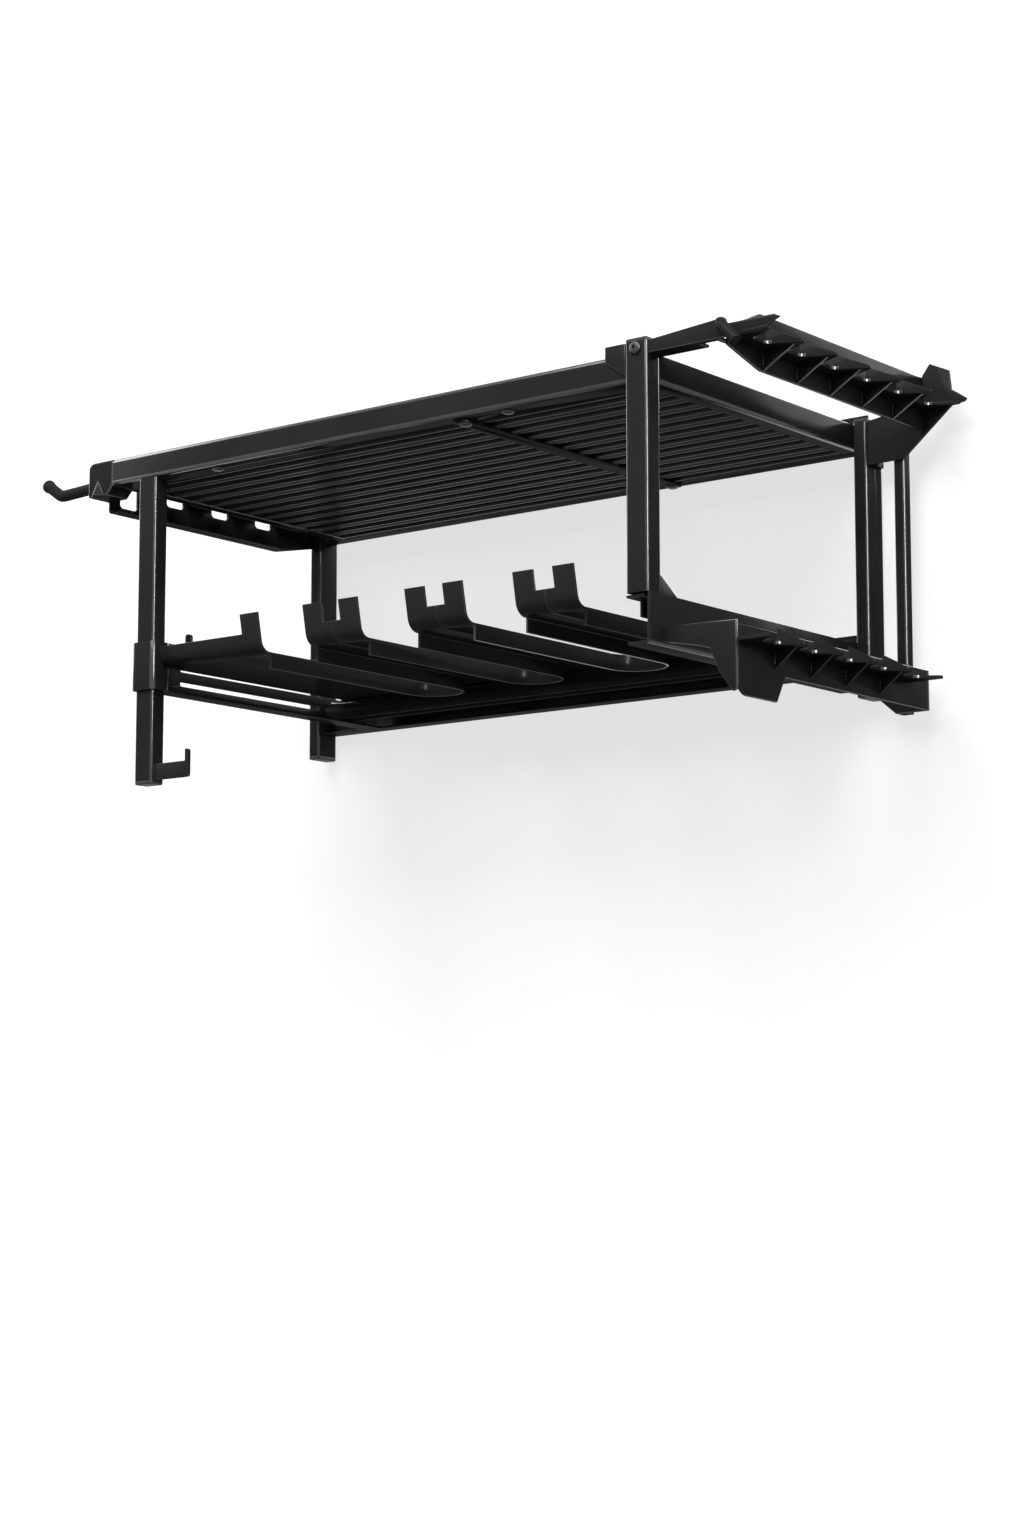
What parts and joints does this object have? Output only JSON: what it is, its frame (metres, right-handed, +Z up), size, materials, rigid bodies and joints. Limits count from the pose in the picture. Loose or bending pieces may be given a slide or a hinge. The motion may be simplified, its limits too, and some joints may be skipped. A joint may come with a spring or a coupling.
{
  "type": "wall-mounted tool rack",
  "caption": "Black steel wall rack: slatted shelf on posts, lower tier of slotted cradles for power tools, combs for spanners at one end, notched rail and hook at the other.",
  "frame": {"origin": "middle of the four wall holes, in the plane of the wall", "axes": "+X along the wall to the right as seen from the front, +Y from the front into the wall, +Z up"},
  "size_m": [0.6271, 0.2584, 0.2601],
  "materials": {
    "black_powder_coat": "satin",
    "black_plastic": "matte",
    "black_zinc": "semi-gloss"
  },
  "bodies": {
    "root": {"beam_end_block": "black_powder_coat", "corner_peg": "black_powder_coat", "corner_plate": "black_powder_coat", "cradle_bolts": "black_zinc", "cradle_nuts": "black_zinc", "deck_brace": "black_powder_coat", "deck_front_strip": "black_powder_coat", "deck_left_rail": "black_powder_coat", "deck_right_rail": "black_powder_coat", "deck_rivets": "black_zinc", "frame_screws": "black_zinc", "front_beam": "black_powder_coat", "left_front_post": "black_powder_coat", "left_hook": "black_powder_coat", "left_post_foot_cap": "black_plastic", "left_rear_upright": "black_powder_coat", "left_tool_rail": "black_powder_coat", "lower_back_plate": "black_powder_coat", "lower_comb": "black_powder_coat", "lower_comb_gussets": "black_powder_coat", "lower_front_arm": "black_powder_coat", "lower_rear_arm": "black_powder_coat", "outer_strut": "black_powder_coat", "post_bracket": "black_powder_coat", "post_foot_hook": "black_powder_coat", "right_back_plate": "black_powder_coat", "right_comb": "black_powder_coat", "right_comb_gussets": "black_powder_coat", "right_front_arm": "black_powder_coat", "right_front_post": "black_powder_coat", "right_post_cap": "black_plastic", "right_rear_arm": "black_powder_coat", "right_rear_upright": "black_powder_coat", "shelf_back_rail": "black_powder_coat", "tier_back_rail": "black_powder_coat", "tier_collar": "black_powder_coat", "tier_cross_bar": "black_powder_coat", "tier_left_rail": "black_powder_coat", "tier_right_rail": "black_powder_coat", "tool_cradle_1": "black_powder_coat", "tool_cradle_2": "black_powder_coat", "tool_cradle_3": "black_powder_coat", "tool_cradle_4": "black_powder_coat", "upright_caps": "black_plastic", "slat_01": "black_powder_coat", "slat_02": "black_powder_coat", "slat_03": "black_powder_coat", "slat_04": "black_powder_coat", "slat_05": "black_powder_coat", "slat_06": "black_powder_coat", "slat_07": "black_powder_coat", "slat_08": "black_powder_coat", "slat_09": "black_powder_coat", "slat_10": "black_powder_coat", "slat_11": "black_powder_coat", "slat_12": "black_powder_coat"}
  },
  "joints": []
}
